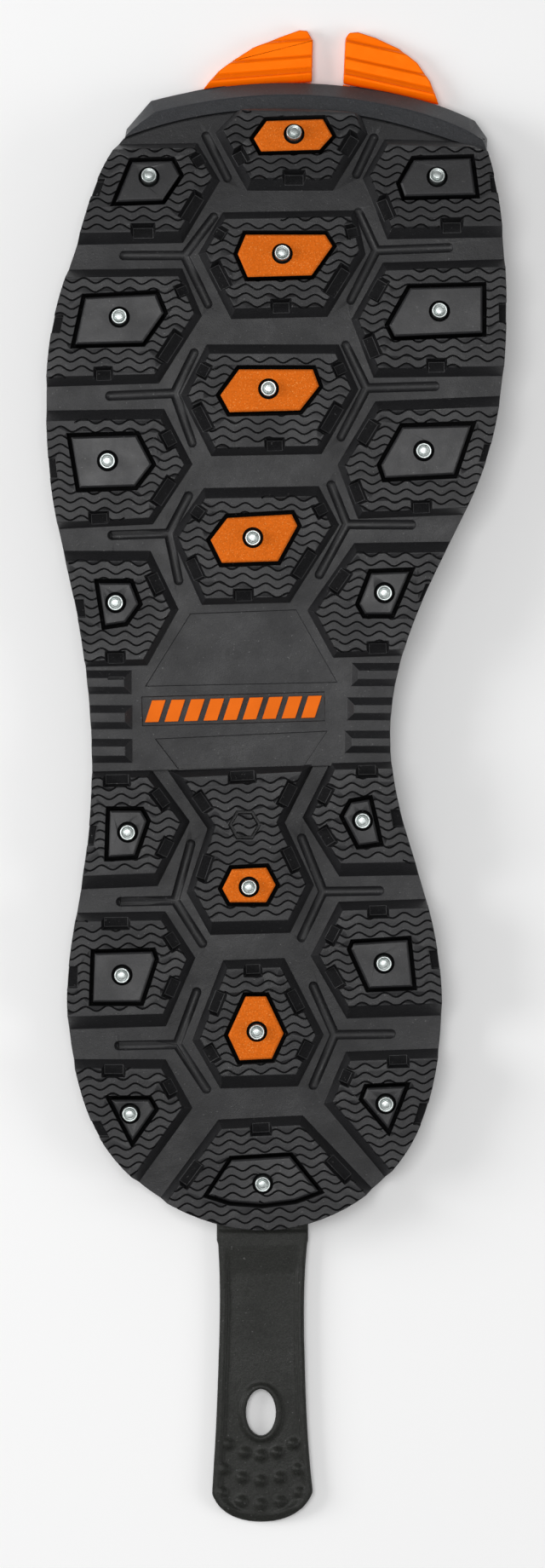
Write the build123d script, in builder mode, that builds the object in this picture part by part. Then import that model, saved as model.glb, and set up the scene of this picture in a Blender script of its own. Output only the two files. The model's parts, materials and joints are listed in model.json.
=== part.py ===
"""Interchangeable studded outsole for an ice boot, right foot, lying tread side up.

+X points across the foot, +Y towards the toe and +Z out of the tread. Millimetres.
The sole rests on the toe bumper and on the heel strap's anchor, so the straight part
from heel to ball climbs at RAKE, and the forefoot then curls down to the toe.
"""
import os
from dataclasses import dataclass
from math import asin, cos, hypot, radians, sin, tan

from build123d import *

os.makedirs("parts", exist_ok=True)

# ---------------------------------------------------------------- driving dimensions
# Side view of the sole
HEEL_EDGE_Y = -116.4
BALL_Y = 79.0
TOE_END_Y = 185.0
HEEL_HEIGHT = 7.27          # height of the tread floor above the ground at the heel edge
RAKE = 3.2                  # degrees, slope of the straight part
SPRING_RADIUS = 350.0       # radius of the forefoot's curl
HALF_SPAN = 70.0            # wider than half the sole
THROUGH = 80.0              # longer than any cut or trim has to reach
CLEAR = 1.0                 # how far a cut passes the surface that it opens

# Layers, measured square to the tread floor
WEB = 4.2
HEEL_DROP = 1.5             # the heel's floor lies this much lower
LUG_HEIGHT = 5.0
PLATE = 2.0
PLATE_INSET = 2.5

# Lug walls
ROOT = 0.8                  # how deep a lug's root sits in the web
SIDE_DRAFT = 1.9
TOE_DRAFT = 2.9             # forefoot lugs lean back from the toe
HEEL_DRAFT = 4.2            # heel lugs lean back from the heel
NOTCH_DROP = 3.0
NOTCH_INSET = 2.3
NOTCH_LEAN = 0.2            # a notch widens by this much per millimetre of its height
SLOT_DROP = 3.0             # slots in the outer lugs' outer sides
SLOT_RUN_OUT = 6.0          # cut reaches this far past the slot's inner side
NOTCH_RUN_OUT = 5.0         # and a notch's this far past its lug's side

# Pods and their windows
MOAT = 1.05
POD_TOP = 5.3
POD_CHAMFER = 0.45
FLANGE_GROW = 1.0
FLANGE = 1.2
POCKET_GROW = 1.3
POCKET_TOP = -1.6
POCKET_DEPTH = 4.0
FLANGE_TOP = -1.7

# Studs
STUD_D = 3.9
STUD_TOP = 7.1
HEAD_D = 6.0
HEAD_BOTTOM = -0.6
HEAD_TOP = 0.6
WELL_D = 5.3
WELL_DEPTH = 2.6
PIN_D = 2.1
PIN_BOTTOM = 4.1
PIN_TOP = 7.5
STUD_CHAMFER = 0.35

# Grooves, bars and panels
GROOVE_R = 1.2
GROOVE_LIFT = 0.25          # axis of a groove above the tread floor
BAR_HEIGHT = 2.4
BAR_DRAFT = 1.9
BAR_ROOT = 0.1              # how deep a bar's root sits in the web
PANEL_DEPTH = 0.5

# Toe bumper and tab
BUMPER_PLANE_Y = 169.0
BEVEL_DOWN = 4.6            # height of the bumper's bevel
PARTING_W = 1.0
PARTING_DEPTH = 1.3
TAB_BOTTOM = 0.3
TAB_TOP = 4.5
TAB_NOTCH_Z = 5.2           # underside of the bumper above the tab
TAB_ROOT_Y = 148.0          # the base is bonded under the plate from here
TAB_STEP_Y = 159.0          # to here
TAB_FRONT_Y = 172.0
TAB_X = (-19.2, 41.6)
TAB_HINGE_R = 2.1
TAB_HINGE_Z = TAB_BOTTOM + TAB_HINGE_R
TAB_HINGE_OUT = 2.6         # from the bumper's front edge to a hinge's axis
TAB_GAP = 0.35
TAB_LENGTH = 20.0           # reaches past the tip, which the plan then trims
SHINGLE_EDGES = [0.4, 4.2, 8.6]     # distance of each shingle's edge from the hinge
SHINGLE_DROP = 0.8
SHINGLE_RISE = 0.35         # each shingle climbs this much to its own edge
SHINGLE_RAMP = 0.5
TAB_MID_X = 11.2
TAB_NOTCH_W = 64.0

# Heel strap
STRAP_BOTTOM = 0.2
STRAP_FLOOR = 2.6
STRAP_TOP = 3.4
STRAP_HINGE_Y = -118.0
STRAP_HINGE_R = 1.6
STRAP_END_Y = -192.3
STRAP_MID_X = -4.0
BEAD_W = 1.9
EYELET_Y = -164.0
EYELET = (3.85, 6.05)       # half axes of the hole
EYELET_RIM = (5.3, 7.25)
BUMP_R = 1.45
BUMP_Z = 2.2
BUMP_ROWS = [(-175.0, 4.2), (-181.5, 4.8), (-187.6, 5.0)]     # row and pitch
BUMP_RISE = 0.75            # outer bumps of a row stand nearer the hinge
RAMP_Y = (-121.0, -128.0)   # from full thickness down to the floor
TIP_SLOPE_Y = -188.5
TIP_TOP = 1.9
ANCHOR_FRONT_Y = -97.0
ANCHOR_BACK_Y = -116.1
ANCHOR_X = (-14.0, 7.0)
ANCHOR_CHAMFER = 0.8


@dataclass
class Lug:
    """One tread lug, its pod window and its stud, as plan points of the sole."""

    name: str
    stud: tuple
    top: list               # corners of the worn face, clockwise
    window: list            # corners of the pod's window, clockwise
    notches: tuple = ()     # (side number, start, end) as fractions along that side


LUGS = [
    Lug("center_1", (4.5, 163.0),
        [(-13.5, 164.0), (-8.5, 169.3), (20.0, 168.7), (21.5, 164.5), (13.5, 151.5), (-6.5, 151.5)],
        [(-3.0, 167.5), (12.5, 168.0), (15.5, 162.5), (11.5, 158.0), (-4.5, 157.5), (-7.0, 162.0)],
        ((3, 0.10, 0.52), (4, 0.30, 0.60), (5, 0.30, 0.62))),
    Lug("left_1", (-32.5, 152.0),
        [(-49.5, 159.0), (-21.0, 159.5), (-16.5, 152.0), (-25.0, 138.0), (-54.0, 137.5)],
        [(-37.5, 157.0), (-26.0, 157.3), (-23.5, 152.5), (-28.5, 145.0), (-42.5, 144.5)],
        ((1, 0.10, 0.55), (2, 0.30, 0.80), (3, 0.20, 0.42))),
    Lug("right_1", (41.0, 152.0),
        [(28.5, 160.5), (62.0, 159.5), (62.0, 139.5), (29.5, 139.0), (24.0, 152.5)],
        [(34.5, 157.5), (50.5, 158.0), (52.0, 146.5), (32.0, 146.0), (30.5, 150.5)],
        ((2, 0.44, 0.62), (3, 0.15, 0.60))),
    Lug("center_2", (1.5, 132.5),
        [(-13.0, 141.5), (19.0, 142.0), (21.0, 133.5), (12.0, 119.0), (-10.5, 118.5), (-18.0, 133.0)],
        [(-8.5, 138.5), (13.0, 138.5), (15.5, 134.5), (9.5, 126.0), (-8.0, 125.5), (-11.0, 132.5)],
        ((1, 0.20, 0.62), (2, 0.30, 0.82), (3, 0.36, 0.60), (4, 0.34, 0.80), (5, 0.45, 0.80))),
    Lug("left_2", (-40.0, 116.5),
        [(-64.0, 126.5), (-25.0, 127.0), (-21.0, 117.5), (-31.0, 102.0), (-64.0, 101.0)],
        [(-49.5, 122.5), (-30.0, 123.5), (-27.5, 117.5), (-33.5, 109.0), (-52.5, 108.5)],
        ((1, 0.18, 0.52), (2, 0.32, 0.80), (3, 0.32, 0.47))),
    Lug("right_2", (41.5, 118.0),
        [(28.0, 128.5), (64.0, 129.5), (64.0, 104.0), (26.0, 103.5), (21.0, 116.0)],
        [(33.5, 125.0), (53.5, 125.5), (53.5, 111.5), (29.5, 110.5), (27.5, 114.5)],
        ((2, 0.54, 0.68), (3, 0.20, 0.68), (4, 0.42, 0.86))),
    Lug("center_3", (-2.0, 98.5),
        [(-17.0, 107.5), (15.0, 107.5), (19.0, 98.5), (10.5, 84.0), (-15.5, 83.5), (-22.5, 97.0)],
        [(-10.0, 104.5), (10.0, 104.5), (12.0, 99.0), (6.5, 92.0), (-12.5, 91.5), (-15.5, 97.0)],
        ((1, 0.22, 0.60), (2, 0.28, 0.78), (3, 0.32, 0.52), (4, 0.30, 0.80), (5, 0.45, 0.80))),
    Lug("left_3", (-43.0, 80.5),
        [(-64.0, 90.5), (-29.5, 91.0), (-23.5, 79.5), (-32.5, 66.0), (-62.0, 64.5)],
        [(-53.5, 87.5), (-35.0, 88.0), (-30.5, 79.5), (-35.5, 73.0), (-51.0, 72.5)],
        ((1, 0.22, 0.60), (2, 0.28, 0.78), (3, 0.34, 0.52))),
    Lug("right_3", (37.5, 83.0),
        [(26.0, 93.0), (62.0, 94.5), (60.5, 69.0), (22.0, 67.5), (17.5, 79.0)],
        [(31.5, 90.0), (51.0, 90.5), (46.0, 76.0), (27.0, 75.0), (25.5, 79.5)],
        ((2, 0.54, 0.68), (3, 0.16, 0.66), (4, 0.42, 0.86))),
    Lug("center_4", (-6.0, 61.0),
        [(-18.0, 71.0), (10.0, 71.5), (14.0, 64.0), (2.5, 46.0), (-18.0, 45.5), (-25.0, 61.0)],
        [(-13.0, 67.0), (4.5, 68.0), (6.5, 64.0), (1.0, 54.0), (-14.5, 53.5), (-18.0, 60.5)],
        ((1, 0.22, 0.66), (2, 0.36, 0.76), (3, 0.40, 0.66), (4, 0.28, 0.66), (5, 0.50, 0.82))),
    Lug("left_4", (-41.0, 44.5),
        [(-62.0, 55.0), (-33.0, 55.0), (-27.0, 42.5), (-34.0, 30.0), (-56.0, 29.5)],
        [(-46.5, 50.5), (-36.5, 50.5), (-34.0, 44.0), (-38.0, 38.5), (-44.5, 37.5)],
        ((1, 0.22, 0.66), (3, 0.20, 0.44))),
    Lug("right_4", (27.5, 47.0),
        [(20.5, 57.0), (54.0, 57.5), (47.0, 33.0), (15.5, 32.0), (10.0, 42.0)],
        [(23.5, 53.0), (35.5, 53.5), (30.0, 40.5), (22.0, 40.5), (20.0, 44.0)],
        ((2, 0.58, 0.76), (4, 0.36, 0.74))),
    Lug("heel_left_1", (-38.0, -14.0),
        [(-54.0, -0.5), (-33.0, 0.0), (-24.5, -11.5), (-31.0, -24.5), (-55.0, -25.5)],
        [(-43.5, -7.5), (-34.0, -7.5), (-32.0, -11.0), (-35.5, -21.0), (-44.0, -21.5)],
        ((0, 0.46, 0.80), (1, 0.24, 0.66), (2, 0.34, 0.72))),
    Lug("heel_right_1", (22.0, -11.0),
        [(15.0, 2.0), (37.0, 2.5), (44.0, -21.5), (16.5, -22.0), (9.0, -10.0)],
        [(18.5, -5.5), (24.5, -4.5), (27.5, -17.5), (20.5, -18.5), (16.0, -10.0)],
        ((0, 0.24, 0.50), (3, 0.34, 0.74), (4, 0.28, 0.66))),
    Lug("heel_center_1", (-7.0, -28.0),
        [(-24.0, 0.0), (6.5, 1.5), (0.0, -11.5), (7.5, -27.5), (3.0, -36.5), (-16.5, -37.0),
         (-21.0, -29.0), (-15.5, -12.5)],
        [(-12.0, -22.5), (-2.0, -22.0), (1.0, -27.5), (-2.0, -33.0), (-12.5, -33.0), (-15.0, -28.5)],
        ((0, 0.38, 0.62), (1, 0.25, 0.72), (2, 0.38, 0.78), (6, 0.16, 0.58), (7, 0.26, 0.66))),
    Lug("heel_left_2", (-39.5, -50.5),
        [(-60.0, -37.0), (-29.5, -36.5), (-23.0, -46.5), (-29.0, -60.5), (-60.0, -61.5)],
        [(-47.5, -44.0), (-31.0, -43.5), (-30.0, -46.5), (-34.0, -58.5), (-48.0, -58.5)],
        ((0, 0.50, 0.74), (1, 0.30, 0.72), (2, 0.36, 0.74))),
    Lug("heel_right_2", (27.5, -47.5),
        [(17.0, -34.0), (48.0, -33.0), (48.0, -57.5), (18.5, -58.5), (11.0, -45.5)],
        [(19.0, -41.5), (34.5, -40.5), (36.0, -54.5), (23.0, -55.0), (18.0, -44.0)],
        ((0, 0.20, 0.38), (3, 0.32, 0.74), (4, 0.28, 0.68))),
    Lug("heel_center_2", (-5.0, -65.0),
        [(-12.5, -49.0), (1.0, -48.5), (10.0, -66.0), (5.0, -76.0), (-14.0, -76.5), (-19.5, -67.0)],
        [(-8.5, -55.0), (-2.0, -55.0), (3.0, -65.5), (-0.5, -73.0), (-10.0, -73.5), (-13.5, -66.0)],
        ((0, 0.30, 0.66), (1, 0.32, 0.66), (2, 0.18, 0.66), (4, 0.34, 0.80), (5, 0.36, 0.70))),
    Lug("heel_left_3", (-37.5, -86.0),
        [(-60.0, -74.5), (-29.5, -74.5), (-24.0, -84.5), (-38.5, -104.5), (-60.0, -92.0)],
        [(-44.0, -81.5), (-32.0, -81.5), (-30.0, -85.0), (-37.0, -95.0)],
        ((0, 0.50, 0.70), (1, 0.26, 0.70))),
    Lug("heel_right_3", (28.0, -83.5),
        [(19.0, -72.5), (48.0, -71.5), (48.0, -92.0), (30.0, -101.5), (14.5, -83.0)],
        [(22.5, -78.5), (34.5, -78.0), (29.0, -92.0), (21.0, -82.5)],
        ((0, 0.32, 0.52), (4, 0.42, 0.80))),
    Lug("heel_back", (-3.5, -104.0),
        [(-14.0, -90.0), (6.0, -89.0), (26.0, -110.0), (20.0, -124.0), (-34.0, -124.0), (-28.5, -109.5)],
        [(-12.0, -97.0), (4.0, -96.0), (12.5, -106.5), (5.0, -109.3), (-3.5, -110.4), (-12.0, -109.7),
         (-19.0, -107.5)],
        ((0, 0.36, 0.64), (1, 0.38, 0.66), (5, 0.26, 0.58))),
]
HEEL_LUGS_BELOW_Y = 10.0

# Inner side of the slot in each outer lug, from its toe end to its heel end
OUTER_SLOTS = {
    "left_1": ((-43.7, 151.6), (-45.2, 147.1)),
    "right_1": ((54.4, 152.7), (54.8, 148.1)),
    "left_2": ((-54.2, 117.0), (-55.1, 112.5)),
    "right_2": ((56.6, 120.2), (56.7, 115.2)),
    "left_3": ((-56.3, 81.1), (-55.7, 76.1)),
    "right_3": ((52.9, 84.7), (51.6, 80.3)),
    "left_4": ((-49.1, 45.3), (-48.6, 40.7)),
    "right_4": ((38.0, 49.3), (36.4, 45.2)),
    "heel_left_1": ((-45.8, -12.4), (-46.6, -17.4)),
    "heel_right_1": ((29.0, -8.3), (29.8, -12.7)),
    "heel_left_2": ((-50.8, -48.4), (-50.9, -53.9)),
    "heel_right_2": ((38.9, -44.3), (39.7, -49.0)),
    "heel_left_3": ((-45.0, -88.0), (-42.8, -92.2)),
    "heel_right_3": ((36.7, -83.4), (35.0, -88.9)),
}

# Outline of the tread from the toe's left corner round the heel to its right corner
SOLE_EDGE = [
    (-39.0, 163.5), (-45.2, 153.5), (-51.0, 135.5), (-54.8, 124.0), (-58.2, 107.0), (-58.6, 90.0),
    (-57.0, 70.5), (-53.5, 53.5), (-50.3, 38.0), (-48.2, 22.0), (-47.2, 3.0), (-48.3, -17.0),
    (-51.5, -37.0), (-53.6, -56.0), (-51.0, -77.5), (-44.5, -94.0), (-33.0, -106.2), (-19.0, -113.6),
    (-4.0, HEEL_EDGE_Y), (11.0, -113.8), (24.5, -106.2), (35.0, -93.5), (41.0, -74.5), (42.3, -55.0),
    (38.5, -32.0), (32.5, -12.0), (29.4, 4.0), (29.8, 20.0), (35.5, 40.5), (44.5, 60.0),
    (52.5, 77.5), (57.2, 97.5), (58.6, 117.0), (57.8, 138.0), (56.2, 150.5), (54.0, 159.5),
]
TOE_LINE = [(-39.0, 163.5), (-16.5, 169.7), (2.0, 171.0), (20.0, 169.5), (38.5, 165.0), (54.0, 159.5)]
BUMPER_RIGHT = [(54.0, 159.5), (54.2, 163.8), (51.2, 168.4)]
BUMPER_FRONT = [(51.2, 168.4), (41.5, 172.6), (27.5, 176.2), (4.0, 178.7), (-19.5, 176.6), (-32.3, 173.7)]
BUMPER_LEFT = [(-32.3, 173.7), (-38.6, 166.2), (-39.0, 163.5)]
# The same outline where the bumper's bevel meets its upper face
BEVEL_RIGHT = [(54.0, 159.5), (53.1, 162.6), (49.8, 164.9)]
BEVEL_FRONT = [(49.8, 164.9), (40.3, 168.9), (26.8, 172.4), (4.0, 174.8), (-18.9, 172.8), (-31.0, 170.2)]
BEVEL_LEFT = [(-31.0, 170.2), (-37.4, 165.3), (-39.0, 163.5)]

# Rounded grooves: a hub and the ends of its arms
GROOVES = [
    ((-23.5, 133.0), [(-39.0, 133.0), (-16.0, 143.0), (-17.5, 120.5)]),
    ((-26.0, 97.7), [(-42.5, 97.0), (-21.0, 108.0), (-21.5, 85.0)]),
    ((-27.5, 62.0), [(-42.0, 61.5), (-22.5, 71.5), (-25.0, 50.0)]),
    ((25.5, 134.3), [(44.0, 135.0), (21.0, 144.3), (19.0, 121.5)]),
    ((23.0, 99.0), [(40.5, 99.5), (17.7, 110.0), (16.5, 86.5)]),
    ((18.0, 64.3), [(34.5, 64.2), (14.0, 74.3), (11.0, 51.5)]),
    ((-26.0, -32.0), [(-40.0, -32.3), (-22.0, -17.5), (-19.0, -43.0)]),
    ((12.0, -29.7), [(26.5, -29.5), (6.5, -16.0), (6.5, -41.5)]),
    ((-25.5, -69.0), [(-40.5, -69.3), (-20.5, -55.5), (-18.0, -80.5)]),
    ((15.0, -66.5), [(29.5, -66.3), (9.5, -54.0), (9.5, -79.5)]),
    ((-18.0, 164.0), [(-12.5, 153.0)]),
    ((25.0, 163.5), [(20.5, 154.0)]),
]

# Halves of the toe tab: the ends of each root on the bumper's edge, and the free outline
TAB_HALVES = {
    "toe_tab_left": (
        ((-19.5, 176.2), (9.1, 178.4)),
        [(9.1, 176.0), (9.4, 189.6), (8.0, 192.1), (6.0, 192.3), (1.2, 190.6), (-6.0, 187.7), (-10.9, 184.6),
         (-14.9, 181.6), (-17.5, 178.6), (-19.5, 176.2), (-19.5, 172.0), (9.1, 172.0)]),
    "toe_tab_right": (
        ((17.1, 178.0), (42.1, 172.5)),
        [(17.1, 176.0), (17.8, 190.2), (18.8, 191.6), (21.0, 191.8), (25.6, 190.3), (31.6, 187.5), (36.3, 183.8),
         (39.6, 179.0), (42.1, 172.5), (42.1, 168.0), (17.1, 168.0)]),
}
STRAP_LEFT = [(-15.2, STRAP_HINGE_Y), (-14.6, -132.0), (-14.9, -150.5), (-15.7, -170.0), (-16.6, -185.0)]
STRAP_END = [(-16.6, -185.0), (-12.0, -190.4), (-4.0, STRAP_END_Y), (4.2, -190.4), (9.4, -184.5)]
STRAP_RIGHT = [(9.4, -184.5), (8.1, -170.0), (7.3, -150.5), (7.2, -132.0), (8.2, STRAP_HINGE_Y)]

HEEL_STEP = [(-HALF_SPAN, 0.5), (HALF_SPAN, 4.0), (HALF_SPAN, -130.0), (-HALF_SPAN, -130.0)]
UPPER_PANEL = [(-22.0, 41.5), (5.0, 42.5), (15.5, 24.0), (-33.5, 23.0)]
LOWER_PANEL = [(-31.0, 9.5), (13.0, 11.5), (7.0, 2.6), (-25.0, 1.7)]
BAR_TOPS = [
    [(-60.0, 25.2), (-38.9, 25.2), (-38.9, 22.9), (-60.0, 22.9)],
    [(-60.0, 16.3), (-38.7, 16.3), (-38.7, 13.9), (-60.0, 13.9)],
    [(-60.0, 7.7), (-38.7, 7.7), (-38.7, 5.3), (-60.0, 5.3)],
    [(21.1, 27.1), (60.0, 27.1), (60.0, 24.9), (20.9, 24.9)],
    [(19.9, 18.3), (60.0, 18.3), (60.0, 16.2), (19.9, 16.2)],
    [(19.3, 9.8), (60.0, 9.8), (60.0, 7.8), (19.3, 7.8)],
]
PLUG_CENTER = (-8.1, -12.2)
PLUG_ACROSS = 8.4
PLUG_MOAT = 0.95
PLUG_MOAT_DEPTH = 2.6

# Row of slanted marks inlaid across the arch
MARK_COUNT = 9
MARK_PITCH = 5.0
MARK_W = 3.5
MARK_H = 5.6
MARK_SLANT = 2.0
MARK_RISE = 0.45
MARKS_CENTER = (-11.0, 17.2)
MARKS_TURN = 1.6
MARK_BORDER = 0.9

# ------------------------------------------------------------------ shape of the sole
BALL_HEIGHT = HEEL_HEIGHT + (BALL_Y - HEEL_EDGE_Y) * tan(radians(RAKE))
SPRING_CENTER_Y = BALL_Y + SPRING_RADIUS * sin(radians(RAKE))
SPRING_CENTER_Z = BALL_HEIGHT - SPRING_RADIUS * cos(radians(RAKE))


def slope_at(y):
    """Slope of the tread floor at y, in radians, positive while it climbs to the toe."""
    if y <= BALL_Y:
        return radians(RAKE)
    return asin((SPRING_CENTER_Y - y) / SPRING_RADIUS)


def side_point(y, lift=0.0):
    """Side-view point (y, z) that stands lift above the tread floor at y."""
    slope = slope_at(y)
    if y <= BALL_Y:
        z = HEEL_HEIGHT + (y - HEEL_EDGE_Y) * tan(slope)
    else:
        z = SPRING_CENTER_Z + SPRING_RADIUS * cos(slope)
    return (y - lift * sin(slope), z + lift * cos(slope))


def tread_plane(y, lift=0.0):
    """Plane touching the tread floor at y, raised by lift, facing out of the tread."""
    slope = slope_at(y)
    point_y, point_z = side_point(y, lift)
    return Plane(origin=(0, point_y, point_z), x_dir=(1, 0, 0), z_dir=(0, -sin(slope), cos(slope)))


def on_plane(points, y):
    """Plan points of the sole as local points of the tread plane at y."""
    return [(px, (py - y) / cos(slope_at(y))) for px, py in points]


def flared(points, toe_draft, heel_draft):
    """Clockwise corners moved out by each side's draft, which depends on where it faces."""
    sides = []
    for (ax, ay), (bx, by) in zip(points, points[1:] + points[:1]):
        length = hypot(bx - ax, by - ay)
        nx, ny = -(by - ay) / length, (bx - ax) / length
        steep = toe_draft if ny > 0 else heel_draft
        draft = SIDE_DRAFT + (steep - SIDE_DRAFT) * ny * ny
        sides.append((nx, ny, nx * ax + ny * ay + draft))
    corners = []
    for (ax, ay, ad), (bx, by, bd) in zip(sides[-1:] + sides[:-1], sides):
        det = ax * by - ay * bx
        corners.append(((ad * by - ay * bd) / det, (ax * bd - ad * bx) / det))
    return corners


def along_side(points, side, start, end, inset, grow):
    """Four corners of a strip along one side, from outside it to inset inside it, then grown."""
    (ax, ay), (bx, by) = points[side], points[(side + 1) % len(points)]
    length = hypot(bx - ax, by - ay)
    tx, ty = (bx - ax) / length, (by - ay) / length
    low, high = start * length - grow, end * length + grow
    strip = []
    inner = -inset - grow
    for run, depth in ((low, NOTCH_RUN_OUT), (high, NOTCH_RUN_OUT), (high, inner), (low, inner)):
        strip.append((ax + tx * run - ty * depth, ay + ty * run + tx * depth))
    return strip


def side_band(top, bottom):
    """Side view of a layer that follows the sole between two lifts."""
    heel_y = HEEL_EDGE_Y - 8.0
    middle_y = (BALL_Y + TOE_END_Y) / 2
    with BuildSketch(Plane.YZ.offset(-HALF_SPAN)) as band:
        with BuildLine():
            Line(side_point(heel_y, top), side_point(BALL_Y, top))
            ThreePointArc(side_point(BALL_Y, top), side_point(middle_y, top), side_point(TOE_END_Y, top))
            Line(side_point(TOE_END_Y, top), side_point(TOE_END_Y, bottom))
            ThreePointArc(side_point(TOE_END_Y, bottom), side_point(middle_y, bottom),
                          side_point(BALL_Y, bottom))
            Line(side_point(BALL_Y, bottom), side_point(heel_y, bottom))
            Line(side_point(heel_y, bottom), side_point(heel_y, top))
        make_face()
    return band.sketch


def inset_loop(points, inset):
    """Counterclockwise points of a closed outline, moved inwards with sharp corners kept."""
    moved = []
    for before, point, after in zip(points[-1:] + points[:-1], points, points[1:] + points[:1]):
        arriving = (Vector(*point) - Vector(*before)).normalized().rotate(Axis.Z, 90)
        leaving = (Vector(*after) - Vector(*point)).normalized().rotate(Axis.Z, 90)
        moved.append(Vector(*point) + (arriving + leaving) * (inset / (1 + arriving.dot(leaving))))
    return moved


def sole_plan(inset=0.0):
    """Plan of the sole behind the toe line."""
    loop = inset_loop(SOLE_EDGE + TOE_LINE[-2:0:-1], inset)
    edge_count = len(SOLE_EDGE)
    with BuildSketch(Plane.XY.offset(-20)) as plan:
        with BuildLine():
            Spline(*loop[:edge_count])
            Spline(*loop[edge_count - 1:], loop[0])
        make_face()
    return plan.sketch


def window_sketch(lug, grow, lift, kind=Kind.INTERSECTION):
    """Outline of a lug's window, grown or shrunk, on its own tread plane."""
    y = lug.stud[1]
    with BuildSketch(tread_plane(y, lift)) as outline:
        Polygon(*on_plane(lug.window, y), align=None)
        if grow:
            offset(amount=grow, kind=kind)
    return outline.sketch


def hexagon_sketch(center, across, lift):
    """Hexagon on the tread plane, as wide as across from corner to corner."""
    with BuildSketch(tread_plane(center[1], lift)) as outline:
        with Locations((center[0], 0)):
            RegularPolygon(across / 2, 6)
    return outline.sketch


def upward(plane):
    """Direction out of the tread on a plane."""
    return Vector(plane.z_dir)


# ------------------------------------------------------------------------ tread rubber
# Space of the notches, whose walls lean outwards
with BuildPart() as notch_space:
    for lug in LUGS:
        y = lug.stud[1]
        for side, start, end in lug.notches:
            for rise in (-NOTCH_DROP, CLEAR):
                strip = along_side(lug.top, side, start, end, NOTCH_INSET, NOTCH_LEAN * rise)
                with BuildSketch(tread_plane(y, LUG_HEIGHT + rise)):
                    Polygon(*on_plane(strip, y), align=None)
            loft(ruled=True)

# Round-bottomed space of the grooves between the lugs
with BuildPart() as groove_space:
    for hub, ends in GROOVES:
        lift = GROOVE_LIFT - (HEEL_DROP if hub[1] < 0 else 0.0)
        axis_plane = tread_plane(hub[1], lift)
        flat_points = on_plane([hub] + ends, hub[1])
        hub_point, *tips = [axis_plane.from_local_coords(Vector(*point)) for point in flat_points]
        with Locations(hub_point):
            Sphere(GROOVE_R)
        for tip in tips:
            with BuildSketch(Plane(origin=hub_point, z_dir=tip - hub_point)):
                Circle(GROOVE_R)
            extrude(amount=(tip - hub_point).length)
            with Locations(tip):
                Sphere(GROOVE_R)

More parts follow.
